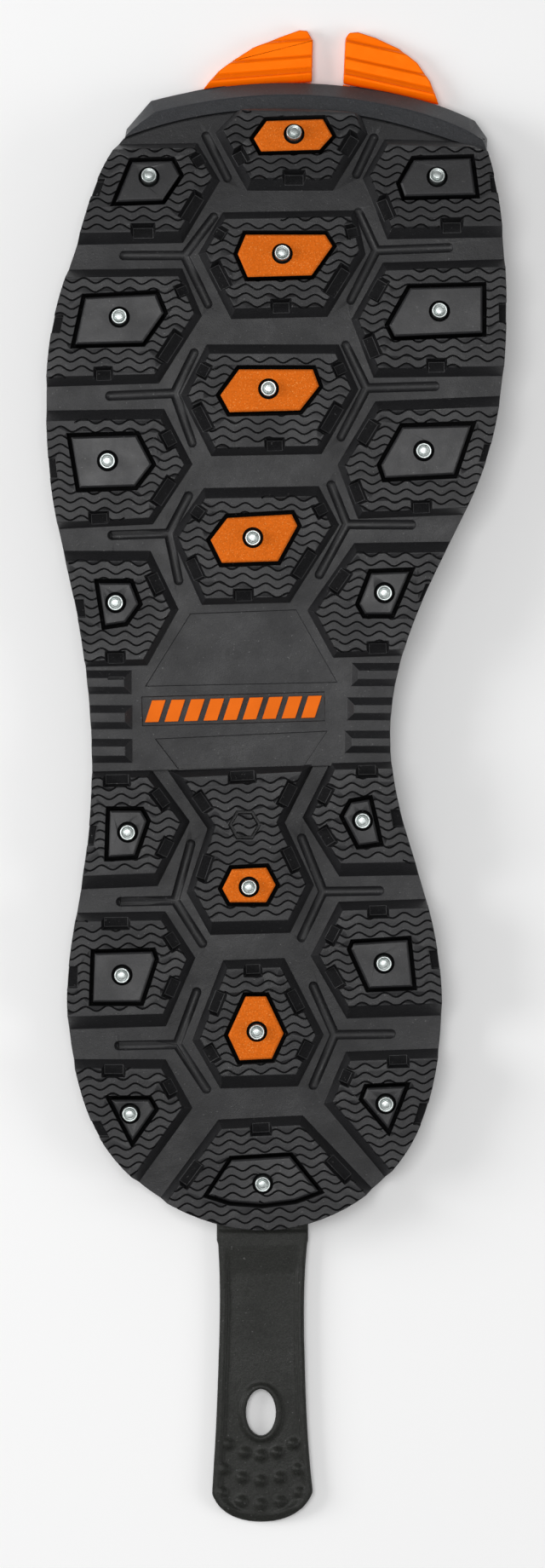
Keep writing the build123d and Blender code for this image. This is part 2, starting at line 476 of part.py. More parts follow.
with BuildPart() as tread_rubber:
    extrude(side_band(0, -WEB), amount=2 * HALF_SPAN, dir=(1, 0, 0))
    with BuildSketch(tread_plane(0, -HEEL_DROP)):
        Polygon(*on_plane(HEEL_STEP, 0), align=None)
    extrude(amount=HEEL_DROP + CLEAR, mode=Mode.SUBTRACT)

    # Lugs, each standing on its own tread plane
    for lug in LUGS:
        y = lug.stud[1]
        in_heel = y < HEEL_LUGS_BELOW_Y
        floor = -HEEL_DROP if in_heel else 0.0
        drafts = (SIDE_DRAFT, HEEL_DRAFT) if in_heel else (TOE_DRAFT, SIDE_DRAFT)
        with BuildSketch(tread_plane(y, floor - ROOT)):
            Polygon(*on_plane(flared(lug.top, *drafts), y), align=None)
        with BuildSketch(tread_plane(y, LUG_HEIGHT)):
            Polygon(*on_plane(lug.top, y), align=None)
        loft(ruled=True)

    # Tapered bars on both edges of the arch
    for bar in BAR_TOPS:
        y = bar[0][1]
        base = [(px + sx * BAR_DRAFT, py + sy * BAR_DRAFT)
                for (px, py), (sx, sy) in zip(bar, ((-1, 1), (1, 1), (1, -1), (-1, -1)))]
        with BuildSketch(tread_plane(y, -BAR_ROOT)):
            Polygon(*on_plane(base, y), align=None)
        with BuildSketch(tread_plane(y, BAR_HEIGHT)):
            Polygon(*on_plane(bar, y), align=None)
        loft(ruled=True)

    # Outer edge of the moulding
    extrude(sole_plan(), amount=THROUGH, dir=(0, 0, 1), mode=Mode.INTERSECT)

    # Notches in the lugs' sides, and slots in their outer sides
    add(notch_space.part, mode=Mode.SUBTRACT)
    for lug in LUGS:
        y = lug.stud[1]
        if lug.name in OUTER_SLOTS:
            (toe_x, toe_y), (heel_x, heel_y) = OUTER_SLOTS[lug.name]
            run_out = SLOT_RUN_OUT if toe_x > 0 else -SLOT_RUN_OUT
            slot = [(toe_x, toe_y), (heel_x, heel_y), (heel_x + run_out, heel_y), (toe_x + run_out, toe_y)]
            with BuildSketch(tread_plane(y, LUG_HEIGHT - SLOT_DROP)):
                Polygon(*on_plane(slot, y), align=None)
            extrude(amount=SLOT_DROP + CLEAR, mode=Mode.SUBTRACT)

    # Windows, and the pockets behind them that hold the pods' flanges
    for lug in LUGS:
        out = upward(tread_plane(lug.stud[1]))
        extrude(window_sketch(lug, 0, -WEB), amount=WEB + LUG_HEIGHT + CLEAR, dir=out, mode=Mode.SUBTRACT)
        extrude(window_sketch(lug, POCKET_GROW, POCKET_TOP, Kind.ARC), amount=-POCKET_DEPTH, dir=out,
                mode=Mode.SUBTRACT)

    # Moat round the blank plug in the first heel lug
    ring = hexagon_sketch(PLUG_CENTER, PLUG_ACROSS, LUG_HEIGHT - PLUG_MOAT_DEPTH)
    ring = ring - hexagon_sketch(PLUG_CENTER, PLUG_ACROSS - 2 * PLUG_MOAT, LUG_HEIGHT - PLUG_MOAT_DEPTH)
    extrude(ring, amount=PLUG_MOAT_DEPTH + CLEAR, dir=upward(tread_plane(PLUG_CENTER[1])), mode=Mode.SUBTRACT)

    add(groove_space.part, mode=Mode.SUBTRACT)

    # Sunk panels of the arch, and the bed of the inlaid marks
    for panel in (UPPER_PANEL, LOWER_PANEL):
        with BuildSketch(tread_plane(0, -PANEL_DEPTH)):
            Polygon(*on_plane(panel, 0), align=None)
        extrude(amount=PANEL_DEPTH + CLEAR, mode=Mode.SUBTRACT)
    with BuildSketch(tread_plane(MARKS_CENTER[1], -PANEL_DEPTH)):
        bed_w = MARK_COUNT * MARK_PITCH + 2 * MARK_BORDER
        bed_h = MARK_H + 2 * MARK_BORDER
        with Locations(Location((MARKS_CENTER[0], 0, 0), (0, 0, MARKS_TURN))):
            Rectangle(bed_w, bed_h)
    extrude(amount=PANEL_DEPTH + CLEAR, mode=Mode.SUBTRACT)

    # Parting line in front of the first lugs
    with BuildSketch(tread_plane(BUMPER_PLANE_Y, -PARTING_DEPTH)):
        with BuildLine():
            Spline(*on_plane(TOE_LINE, BUMPER_PLANE_Y))
        trace(line_width=PARTING_W)
    extrude(amount=PARTING_DEPTH + CLEAR, mode=Mode.SUBTRACT)
tread_rubber.part.label = "tread_rubber"

# ------------------------------------------------------------------------- arch inlay
with BuildPart() as arch_inlay:
    with BuildSketch(tread_plane(MARKS_CENTER[1], -PANEL_DEPTH)):
        with Locations(Location((MARKS_CENTER[0], 0, 0), (0, 0, MARKS_TURN))):
            with GridLocations(MARK_PITCH, 1, MARK_COUNT, 1):
                Polygon((-MARK_W / 2 - MARK_SLANT / 2, -MARK_H / 2), (MARK_W / 2 - MARK_SLANT / 2, -MARK_H / 2),
                        (MARK_W / 2 + MARK_SLANT / 2, MARK_H / 2), (-MARK_W / 2 + MARK_SLANT / 2, MARK_H / 2),
                        align=None)
    extrude(amount=PANEL_DEPTH + MARK_RISE)
arch_inlay.part.label = "arch_inlay"

# ----------------------------------------------------------------------- toe bumper
def bumper_plan(right, front, left, plane):
    """Outline of the bumper on a plane through BUMPER_PLANE_Y."""
    with BuildSketch(plane) as plan:
        with BuildLine():
            Spline(*on_plane(TOE_LINE, BUMPER_PLANE_Y))
            Polyline(*on_plane(right, BUMPER_PLANE_Y))
            Spline(*on_plane(front, BUMPER_PLANE_Y))
            Polyline(*on_plane(left, BUMPER_PLANE_Y))
        make_face()
    return plan.sketch


with BuildPart() as toe_bumper:
    upper_plane = tread_plane(BUMPER_PLANE_Y)
    bevel_plane = Plane(origin=upper_plane.origin - Vector(0, 0, BEVEL_DOWN), x_dir=upper_plane.x_dir,
                        z_dir=upper_plane.z_dir)
    bevel_foot = bumper_plan(BUMPER_RIGHT, BUMPER_FRONT, BUMPER_LEFT, bevel_plane)
    bevel_top = bumper_plan(BEVEL_RIGHT, BEVEL_FRONT, BEVEL_LEFT, upper_plane)
    loft([bevel_foot, bevel_top], ruled=True)
    extrude(bevel_foot, amount=THROUGH, dir=(0, 0, -1))
    split(bisect_by=Plane.XY, keep=Keep.TOP)
    # Cut-out that the tab passes through
    with BuildSketch(Plane.XY):
        with Locations((TAB_MID_X, BUMPER_PLANE_Y)):
            Rectangle(TAB_NOTCH_W, 30)
    extrude(amount=TAB_NOTCH_Z, mode=Mode.SUBTRACT)
toe_bumper.part.label = "toe_bumper"

# ---------------------------------------------------------------------- carrier plate
with BuildPart() as carrier_plate:
    extrude(side_band(-WEB, -WEB - PLATE), amount=2 * HALF_SPAN, dir=(1, 0, 0))
    extrude(sole_plan(PLATE_INSET), amount=THROUGH, dir=(0, 0, 1), mode=Mode.INTERSECT)
    # Seat of the strap's anchor
    with BuildSketch(Plane.XY.offset(-5)):
        with Locations(((ANCHOR_X[0] + ANCHOR_X[1]) / 2, (ANCHOR_FRONT_Y + HEEL_EDGE_Y) / 2)):
            Rectangle(ANCHOR_X[1] - ANCHOR_X[0], ANCHOR_FRONT_Y - HEEL_EDGE_Y)
    extrude(amount=THROUGH, mode=Mode.SUBTRACT)
carrier_plate.part.label = "carrier_plate"

# ---------------------------------------------------------------------------- toe tab
# Fixed base: a wedge bonded under the plate, a flat tongue, and a lobe for each half
with BuildPart() as toe_tab_base:
    plate_bottom = -WEB - PLATE
    with BuildSketch(Plane.YZ.offset(TAB_X[0])):
        with BuildLine():
            ThreePointArc(side_point(TAB_ROOT_Y, plate_bottom),
                          side_point((TAB_ROOT_Y + TAB_STEP_Y) / 2, plate_bottom),
                          side_point(TAB_STEP_Y, plate_bottom))
            Polyline(side_point(TAB_STEP_Y, plate_bottom), (TAB_STEP_Y, TAB_TOP), (TAB_FRONT_Y, TAB_TOP),
                     (TAB_FRONT_Y, TAB_BOTTOM), (TAB_ROOT_Y + 4, TAB_BOTTOM),
                     side_point(TAB_ROOT_Y, plate_bottom))
        make_face()
    extrude(amount=TAB_X[1] - TAB_X[0])
    for (left_end, right_end), plan in TAB_HALVES.values():
        across = Vector(*right_end) - Vector(*left_end)
        outward = across.normalized().rotate(Axis.Z, 90) * (TAB_HINGE_OUT - TAB_HINGE_R - TAB_GAP)
        with BuildSketch(Plane.XY.offset(TAB_BOTTOM)):
            Polygon((left_end[0], TAB_FRONT_Y - 4), Vector(*left_end) + outward,
                    Vector(*right_end) + outward, (right_end[0], TAB_FRONT_Y - 4), align=None)
        extrude(amount=TAB_TOP - TAB_BOTTOM)
toe_tab_base.part.label = "toe_tab_base"

# Halves: each swings on its rounded root, and its top falls in shingles to the tip
toe_tab_halves = []
for half_name, ((left_end, right_end), plan) in TAB_HALVES.items():
    along = (Vector(*right_end) - Vector(*left_end)).normalized()
    outward = along.rotate(Axis.Z, 90)
    hinge = (Vector(*left_end) + Vector(*right_end)) / 2 + outward * TAB_HINGE_OUT
    with BuildPart() as toe_tab_half:
        with BuildSketch(Plane(origin=hinge, x_dir=outward, z_dir=along)):
            with Locations((0, TAB_HINGE_Z)):
                Circle(TAB_HINGE_R)
            top = TAB_HINGE_Z + TAB_HINGE_R
            outline = [(0, TAB_BOTTOM), (0, top)]
            for edge in SHINGLE_EDGES:
                outline.append((edge, top))
                outline.append((edge + SHINGLE_RAMP, top - SHINGLE_DROP))
                top += SHINGLE_RISE - SHINGLE_DROP
            outline += [(TAB_LENGTH, top), (TAB_LENGTH, TAB_BOTTOM)]
            Polygon(*outline, align=None)
        extrude(amount=HALF_SPAN, both=True)
        with BuildSketch(Plane.XY):
            Polygon(*plan, align=None)
        extrude(amount=THROUGH, mode=Mode.INTERSECT)
    toe_tab_half.part.label = half_name
    toe_tab_halves.append(toe_tab_half.part)

# ------------------------------------------------------------------------- heel strap
with BuildPart() as heel_strap_anchor:
    with BuildSketch(Plane.YZ.offset(ANCHOR_X[0])):
        web_height = HEEL_HEIGHT - WEB / cos(radians(RAKE))
        climb = tan(radians(RAKE))
        Polygon((ANCHOR_FRONT_Y, 0), (ANCHOR_BACK_Y, 0),
                (ANCHOR_BACK_Y, web_height + (ANCHOR_BACK_Y - HEEL_EDGE_Y) * climb),
                (ANCHOR_FRONT_Y, web_height + (ANCHOR_FRONT_Y - HEEL_EDGE_Y) * climb), align=None)
    extrude(amount=ANCHOR_X[1] - ANCHOR_X[0])
    low_back_edge = heel_strap_anchor.faces().sort_by(Axis.Y)[0].edges().sort_by(Axis.Z)[0]
    chamfer(low_back_edge, length=ANCHOR_CHAMFER)
heel_strap_anchor.part.label = "heel_strap_anchor"


def strap_plan(inset=0.0):
    """Plan of the strap, from in front of its hinge to its rounded end."""
    front_y = STRAP_HINGE_Y + STRAP_HINGE_R + CLEAR
    front_left = (STRAP_LEFT[0][0], front_y)
    front_right = (STRAP_RIGHT[-1][0], front_y)
    loop = inset_loop([front_left] + STRAP_LEFT + STRAP_END[1:] + STRAP_RIGHT[1:] + [front_right], inset)
    end_start = len(STRAP_LEFT)
    end_stop = end_start + len(STRAP_END) - 1
    with BuildSketch(Plane.XY) as plan:
        with BuildLine():
            Line(loop[0], loop[1])
            Spline(*loop[1:end_start + 1])
            Spline(*loop[end_start:end_stop + 1])
            Spline(*loop[end_stop:-1])
            Polyline(loop[-2], loop[-1], loop[0])
        make_face()
    return plan.sketch


# Space above the strap's floor, between its side beads and round the eyelet's rim
with BuildPart() as strap_hollow:
    with BuildSketch(Plane.YZ):
        Polygon((RAMP_Y[0], STRAP_TOP), (RAMP_Y[1], STRAP_FLOOR), (STRAP_END_Y, STRAP_FLOOR),
                (STRAP_END_Y, STRAP_TOP + 3), (RAMP_Y[0], STRAP_TOP + 3), align=None)
    extrude(amount=HALF_SPAN, both=True)
    extrude(strap_plan(BEAD_W), amount=THROUGH, dir=(0, 0, 1), mode=Mode.INTERSECT)
    with BuildSketch(Plane.XY):
        with Locations((STRAP_MID_X, EYELET_Y)):
            Ellipse(*EYELET_RIM)
    extrude(amount=THROUGH, mode=Mode.SUBTRACT)

with BuildPart() as heel_strap:
    with BuildSketch(Plane.YZ):
        with Locations((STRAP_HINGE_Y, STRAP_BOTTOM + STRAP_HINGE_R)):
            Circle(STRAP_HINGE_R)
        Polygon((STRAP_HINGE_Y, STRAP_TOP), (TIP_SLOPE_Y, STRAP_TOP), (STRAP_END_Y, TIP_TOP),
                (STRAP_END_Y, STRAP_BOTTOM), (STRAP_HINGE_Y, STRAP_BOTTOM), align=None)
    extrude(amount=HALF_SPAN, both=True)
    extrude(strap_plan(), amount=THROUGH, dir=(0, 0, 1), mode=Mode.INTERSECT)
    add(strap_hollow.part, mode=Mode.SUBTRACT)
    for row_y, pitch in BUMP_ROWS:
        for step in range(-2, 3):
            with Locations((STRAP_MID_X + step * pitch, row_y + BUMP_RISE * step * step, BUMP_Z)):
                Sphere(BUMP_R)
    with BuildSketch(Plane.XY):
        with Locations((STRAP_MID_X, EYELET_Y)):
            Ellipse(*EYELET)
    extrude(amount=THROUGH, mode=Mode.SUBTRACT)
heel_strap.part.label = "heel_strap"

# --------------------------------------------------------------------- pods and studs
pods = []
studs = []
for lug in LUGS:
    stud_y = lug.stud[1]
    out = upward(tread_plane(stud_y))

    with BuildPart() as pod:
        extrude(window_sketch(lug, -MOAT, FLANGE_TOP), amount=POD_TOP - FLANGE_TOP, dir=out)
        top_face = pod.faces().sort_by(Axis(tread_plane(stud_y).origin, out))[-1]
        chamfer(top_face.edges(), length=POD_CHAMFER)
        extrude(window_sketch(lug, FLANGE_GROW, FLANGE_TOP, Kind.ARC), amount=-FLANGE, dir=out)
        for diameter, low, high in ((HEAD_D, HEAD_BOTTOM, HEAD_TOP), (STUD_D, HEAD_TOP, POD_TOP),
                                    (WELL_D, POD_TOP - WELL_DEPTH, POD_TOP)):
            with BuildSketch(tread_plane(stud_y, low)):
                with Locations((lug.stud[0], 0)):
                    Circle(diameter / 2)
            extrude(amount=high - low, mode=Mode.SUBTRACT)
    pod.part.label = "pod_" + lug.name
    pods.append(pod.part)

    # Steel stud with a hard pin in its socket
    with BuildPart() as stud:
        for diameter, low, high in ((HEAD_D, HEAD_BOTTOM, HEAD_TOP), (STUD_D, HEAD_TOP, STUD_TOP)):
            with BuildSketch(tread_plane(stud_y, low)):
                with Locations((lug.stud[0], 0)):
                    Circle(diameter / 2)
            extrude(amount=high - low)
        chamfer(stud.faces().sort_by(Axis(tread_plane(stud_y).origin, out))[-1].edges(), length=STUD_CHAMFER)
        with BuildSketch(tread_plane(stud_y, PIN_BOTTOM)):
            with Locations((lug.stud[0], 0)):
                Circle(PIN_D / 2)
        extrude(amount=STUD_TOP, mode=Mode.SUBTRACT)
    with BuildPart() as pin:
        with BuildSketch(tread_plane(stud_y, PIN_BOTTOM)):
            with Locations((lug.stud[0], 0)):
                Circle(PIN_D / 2)
        extrude(amount=PIN_TOP - PIN_BOTTOM)
    stud_and_pin = Compound(children=[stud.part, pin.part])
    stud_and_pin.label = "stud_" + lug.name
    studs.append(stud_and_pin)

# ---------------------------------------------------------------------------- exports
fixed = [tread_rubber, arch_inlay, toe_bumper, carrier_plate, toe_tab_base, heel_strap_anchor, heel_strap]
for piece in [builder.part for builder in fixed] + toe_tab_halves + pods + studs:
    export_step(piece, "parts/" + piece.label + ".step")
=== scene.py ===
"""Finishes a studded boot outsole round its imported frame, and lights it on a pale floor.

The rubber is the frame's own tread with softened edges and wavy sipes cut into every lug.
The studs, toe tab, bumper, plate and strap are finished the same way, piece by piece.
"""

import json
from math import atan, cos, pi, radians, sin

import bmesh
import bpy
from bpy.props import FloatProperty, FloatVectorProperty, IntProperty, PointerProperty
from mathutils import Matrix, Vector
from mathutils.bvhtree import BVHTree


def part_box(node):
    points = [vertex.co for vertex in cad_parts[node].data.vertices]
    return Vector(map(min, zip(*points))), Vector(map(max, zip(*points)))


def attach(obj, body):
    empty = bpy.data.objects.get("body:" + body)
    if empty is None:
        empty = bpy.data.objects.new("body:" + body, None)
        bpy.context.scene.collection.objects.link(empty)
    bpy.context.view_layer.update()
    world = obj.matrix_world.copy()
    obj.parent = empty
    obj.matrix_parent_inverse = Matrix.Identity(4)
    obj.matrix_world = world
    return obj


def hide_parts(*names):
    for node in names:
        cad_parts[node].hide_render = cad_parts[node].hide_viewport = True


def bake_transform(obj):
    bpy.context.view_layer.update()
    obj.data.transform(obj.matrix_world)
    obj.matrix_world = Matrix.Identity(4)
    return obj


bl_info = {
    "name": "Studded boot outsole",
    "version": (1, 0, 0),
    "blender": (4, 5, 0),
    "location": "View3D > Sidebar > Outsole",
    "description": "Finishes the tread, studs, toe tab, bumper, plate and strap of an outsole",
    "category": "Mesh",
}

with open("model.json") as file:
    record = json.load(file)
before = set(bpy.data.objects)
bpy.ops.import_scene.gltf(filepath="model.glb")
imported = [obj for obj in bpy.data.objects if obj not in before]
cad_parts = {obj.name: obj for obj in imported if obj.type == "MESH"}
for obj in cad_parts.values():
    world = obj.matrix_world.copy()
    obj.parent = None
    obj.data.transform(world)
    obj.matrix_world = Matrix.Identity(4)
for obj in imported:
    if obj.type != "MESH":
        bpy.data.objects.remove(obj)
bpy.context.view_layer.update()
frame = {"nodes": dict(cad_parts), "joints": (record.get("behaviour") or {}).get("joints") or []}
NODES = frame["nodes"]
LUGS = sorted(name[len("stud_"):] for name in NODES if name.startswith("stud_"))
ORANGE_LUGS = [name for name in LUGS if "center" in name]
ROOT = "sole"
UPPER_FACE_FACES_UP = 0.95      # the bumper's upper face leans less than its bevel
ORANGE_GLINT = (1.0, 0.22, 0.02, 1)

# How the frame's meshes are read, in metres and degrees
SAME_POINT = 0.000002           # vertices closer than this are one
SAME_PLANE = 0.6                # faces that turn by less than this are one
PATCH_FACING = 0.9999           # least agreement with the normal of a lug's flat face
PATCH_REACH = 0.00003           # and the furthest off its plane
PIN_RING = 0.00002              # a pin's rim lies within this of its tip
SMOOTH_BELOW = 35               # edges that turn by more are shaded sharp
FLOOR_FACING = 0.98             # a notch's floor faces up at least this much
FLOOR_REACH = 0.0002            # and lies within this of its depth
WALL_BELOW = 0.0001             # a notch's walls begin this far under the lug's face
WALL_LEAN = (0.15, 0.23)        # and lean between these
FACE_REACH = 0.00001            # faces of the stud are picked within this of their height

# Slant of the sipes, in degrees: each forefoot row from the toe, then every heel row
FOREFOOT_SLANTS = {1: 0, 2: -1.2, 3: -1.7, 4: -2.0}
HEEL_SLANT = 2.7
BAR_SECTION = ((0.5, 1.0), (-0.5, 1.0), (-0.32, -1.0), (0.32, -1.0))     # in widths and depths


# ------------------------------------------------------------------------------ settings
class TreadSettings(bpy.types.PropertyGroup):
    """Sizes of the tread's edges and of the sipes in its lugs."""

    edge: FloatProperty(name="Edge", description="Rounding of every moulded edge",
                        default=0.00015, unit="LENGTH", precision=5)
    pitch: FloatProperty(name="Sipe pitch", description="Distance from one sipe to the next",
                         default=0.00225, unit="LENGTH", precision=5)
    width: FloatProperty(name="Sipe width", description="Width of a sipe at the lug's face",
                         default=0.00058, unit="LENGTH", precision=5)
    depth: FloatProperty(name="Sipe depth", description="Depth of a sipe",
                         default=0.0009, unit="LENGTH", precision=5)
    wave: FloatProperty(name="Wave length", description="Length of one wave of a sipe",
                        default=0.0059, unit="LENGTH", precision=5)
    swing: FloatProperty(name="Wave height", description="Height of a wave from crest to trough",
                         default=0.0013, unit="LENGTH", precision=5)
    overrun: FloatProperty(
        name="Overrun", description="How far a sipe's cutter passes the lug's edge",
        default=0.0008, unit="LENGTH", precision=5)
    face_below_pin: FloatProperty(
        name="Face below pin", description="From a stud's tip down to its lug's face",
        default=0.0025, unit="LENGTH", precision=5)
    notch: FloatProperty(
        name="Notch depth", description="From a lug's face down to its notches' floors",
        default=0.003, unit="LENGTH", precision=5)
    steps: IntProperty(name="Steps", description="Straight steps in one wave", default=10, min=6)


class StudSettings(bpy.types.PropertyGroup):
    """Sizes of one stud, measured down from the tip of its hard pin."""

    shank: FloatProperty(name="Shank", description="Diameter of the steel shank",
                         default=0.0039, unit="LENGTH", precision=5)
    head: FloatProperty(name="Head", description="Diameter of the head in the pod",
                        default=0.006, unit="LENGTH", precision=5)
    pin: FloatProperty(name="Pin", description="Diameter of the hard pin",
                       default=0.0021, unit="LENGTH", precision=5)
    rim_below: FloatProperty(
        name="Rim below tip", description="From the pin's tip down to the shank's rim",
        default=0.0004, unit="LENGTH", precision=5)
    head_below: FloatProperty(
        name="Head below tip", description="From the pin's tip down to the head",
        default=0.0069, unit="LENGTH", precision=5)
    foot_below: FloatProperty(
        name="Foot below tip", description="From the pin's tip down to the head's back",
        default=0.0081, unit="LENGTH", precision=5)
    sink: FloatProperty(name="Sink", description="Depth of the dished face round the pin",
                        default=0.00018, unit="LENGTH", precision=5)
    rim: FloatProperty(name="Rim", description="Width of the level rim round the dished face",
                       default=0.00045, unit="LENGTH", precision=5)
    dish: FloatProperty(name="Dish", description="Width of the slope down from the rim",
                        default=0.00025, unit="LENGTH", precision=5)
    edge: FloatProperty(name="Edge", description="Rounding of the shank's and the head's edges",
                        default=0.0003, unit="LENGTH", precision=5)
    pin_edge: FloatProperty(name="Pin edge", description="Rounding of the pin's edge",
                            default=0.00022, unit="LENGTH", precision=5)
    pin_length: FloatProperty(name="Pin length", description="Length of the pin in the shank",
                              default=0.003, unit="LENGTH", precision=5)


class EdgeSettings(bpy.types.PropertyGroup):
    """Rounding of the other pieces' edges."""

    pod: FloatProperty(name="Pod", description="Rounding of a pod's edges",
                       default=0.00012, unit="LENGTH", precision=5)
    pod_rise: FloatProperty(name="Pod rise", description="Height of a pod's face above its lug's",
                            default=0.0003, unit="LENGTH", precision=5)
    # Below this depth a pod's faces get painted shade: darker, matte rubber on the stud's well and
    # on the pod's sides in the moat, where shadow falls.
    shade_from_tip: FloatProperty(
        name="Pod cap", description="From a stud's tip down to where its pod's black core begins",
        default=0.00285, unit="LENGTH", precision=5)
    tab: FloatProperty(name="Toe tab", description="Rounding of the toe tab's edges",
                       default=0.00035, unit="LENGTH", precision=5)
    bumper: FloatProperty(name="Bumper", description="Rounding of the bumper's edges",
                          default=0.0004, unit="LENGTH", precision=5)
    plate: FloatProperty(name="Plate", description="Rounding of the plate's edges",
                         default=0.0003, unit="LENGTH", precision=5)


class StrapSettings(bpy.types.PropertyGroup):
    """Sizes of the skin that joins the strap to its root under the heel."""

    voxel: FloatProperty(name="Voxel", description="Size of the cells that the skin is made from",
                         default=0.0004, unit="LENGTH", precision=5)
    smoothing: IntProperty(
        name="Smoothing", description="Passes that soften the strap's edges",
        default=5)
    bend: FloatProperty(name="Bend", description="Length of the strap that bends at the heel",
                        default=0.0042, unit="LENGTH", precision=5)
    lap: FloatProperty(name="Lap", description="How far the bridge runs back into the strap",
                       default=0.004, unit="LENGTH", precision=5)
    reach: FloatProperty(name="Reach", description="How far the bridge runs in under the heel",
                         default=0.0016, unit="LENGTH", precision=5)
    side_room: FloatProperty(name="Side room", description="How far the bridge's sides stand in",
                             default=0.0012, unit="LENGTH", precision=5)
    bottom_room: FloatProperty(
        name="Bottom room", description="Height of the bridge above the strap's bottom",
        default=0.0002, unit="LENGTH", precision=5)
    bridge_top: FloatProperty(
        name="Bridge top", description="Height of the bridge's top above the floor",
        default=0.0029, unit="LENGTH", precision=5)


class FinishSettings(bpy.types.PropertyGroup):
    """Colours of the finishes."""

    rubber: FloatVectorProperty(name="Rubber", description="Tread rubber", subtype="COLOR",
                                size=4, default=(0.0105, 0.0105, 0.0115, 1))
    bumper: FloatVectorProperty(name="Bumper", description="Bumper rubber", subtype="COLOR",
                                size=4, default=(0.019, 0.020, 0.023, 1))
    strap: FloatVectorProperty(name="Strap", description="Strap rubber", subtype="COLOR",
                               size=4, default=(0.014, 0.0145, 0.013, 1))
    plate: FloatVectorProperty(name="Plate", description="Carrier plate", subtype="COLOR",
                               size=4, default=(0.012, 0.012, 0.013, 1))
    pod: FloatVectorProperty(
        name="Orange pod", description="Sandy orange of the pods",
        subtype="COLOR", size=4, default=(0.74, 0.15, 0.012, 1))
    inlay: FloatVectorProperty(
        name="Inlay", description="Bright orange of the inlaid marks",
        subtype="COLOR", size=4, default=(0.80, 0.15, 0.012, 1))
    tab: FloatVectorProperty(
        name="Toe tab", description="Bright orange of the toe tab",
        subtype="COLOR", size=4, default=(1.0, 0.155, 0.0005, 1))
    zinc: FloatVectorProperty(name="Zinc", description="Stud shanks", subtype="COLOR",
                              size=4, default=(0.50, 0.54, 0.53, 1))
    carbide: FloatVectorProperty(name="Hard pin", description="Stud pins", subtype="COLOR",
                                 size=4, default=(0.30, 0.35, 0.38, 1))


class StageSettings(bpy.types.PropertyGroup):
    """Camera, floor and lights."""

    camera_height: FloatProperty(name="Camera height", description="Camera above the floor",
                                 default=1.6, unit="LENGTH")
    frame_height: FloatProperty(
        name="Frame height", description="Length that the frame's long side takes in",
        default=0.4048, unit="LENGTH", precision=4)
    floor_tone: FloatProperty(
        name="Floor tone", description="Brightness of the floor",
        default=0.95)
    top_power: FloatProperty(
        name="Top light", description="Power of the light above",
        default=12.5, unit="POWER")
    side_power: FloatProperty(
        name="Side light", description="Power of the light at the side",
        default=8, unit="POWER")
    far_power: FloatProperty(
        name="Far light", description="Power of the weaker light on the other side",
        default=3, unit="POWER")
    world: FloatProperty(
        name="Room light", description="Strength of the room's own light",
        default=0.27)


SETTINGS = {
    "outsole_tread": TreadSettings,
    "outsole_stud": StudSettings,
    "outsole_edges": EdgeSettings,
    "outsole_strap": StrapSettings,
    "outsole_finish": FinishSettings,
    "outsole_stage": StageSettings,
}


# ----------------------------------------------------------------------------- materials
class Finish:
    """One procedural material under construction on Object coordinates."""

    def __init__(self, name, colour, roughness, metallic=0.0, specular=0.5, glint=(1, 1, 1, 1)):
        self.material = bpy.data.materials.new(name)
        self.material.use_nodes = True
        self.nodes = self.material.node_tree.nodes
        self.links = self.material.node_tree.links
        self.shader = self.nodes["Principled BSDF"]
        self.shader.inputs["Base Color"].default_value = colour
        self.shader.inputs["Roughness"].default_value = roughness
        self.shader.inputs["Metallic"].default_value = metallic
        self.shader.inputs["Specular IOR Level"].default_value = specular
        self.shader.inputs["Specular Tint"].default_value = glint
        self.place = self.nodes.new("ShaderNodeTexCoord").outputs["Object"]
        self.height = None

    def noise(self, size, detail=3.0, roughness=0.6, stretch=(1, 1, 1)):
        """Noise whose features are about size metres across."""
        mapping = self.nodes.new("ShaderNodeMapping")
        mapping.inputs["Scale"].default_value = stretch
        self.links.new(self.place, mapping.inputs["Vector"])
        noise = self.nodes.new("ShaderNodeTexNoise")
        noise.inputs["Scale"].default_value = 1 / size
        noise.inputs["Detail"].default_value = detail
        noise.inputs["Roughness"].default_value = roughness
        self.links.new(mapping.outputs["Vector"], noise.inputs["Vector"])
        return noise.outputs["Fac"]

    def ranged(self, value, low, high, to_low, to_high):
        """A value moved from one range to another."""
        node = self.nodes.new("ShaderNodeMapRange")
        node.inputs["From Min"].default_value = low
        node.inputs["From Max"].default_value = high
        node.inputs["To Min"].default_value = to_low
        node.inputs["To Max"].default_value = to_high
        self.links.new(value, node.inputs["Value"])
        return node.outputs["Result"]

    def tint(self, value, colour):
        """Mixes the base colour towards colour where value is high."""
        mix = self.nodes.new("ShaderNodeMix")
        mix.data_type = "RGBA"
        base = self.shader.inputs["Base Color"]
        if base.links:
            self.links.new(base.links[0].from_socket, mix.inputs["A"])
        else:
            mix.inputs["A"].default_value = base.default_value
        mix.inputs["B"].default_value = colour
        self.links.new(value, mix.inputs["Factor"])
        self.links.new(mix.outputs["Result"], base)

    def rough(self, value):
        """Drives the roughness by value."""
        self.links.new(value, self.shader.inputs["Roughness"])

    def bump(self, value, depth, strength=1.0):
        """Adds relief, depth metres deep, on top of what is there."""
        node = self.nodes.new("ShaderNodeBump")
        node.inputs["Strength"].default_value = strength
        node.inputs["Distance"].default_value = depth
        self.links.new(value, node.inputs["Height"])
        if self.height:
            self.links.new(self.height, node.inputs["Normal"])
        self.height = node.outputs["Normal"]
        self.links.new(self.height, self.shader.inputs["Normal"])


def shade(colour, factor):
    """A colour made lighter or darker."""
    return (colour[0] * factor, colour[1] * factor, colour[2] * factor, 1)


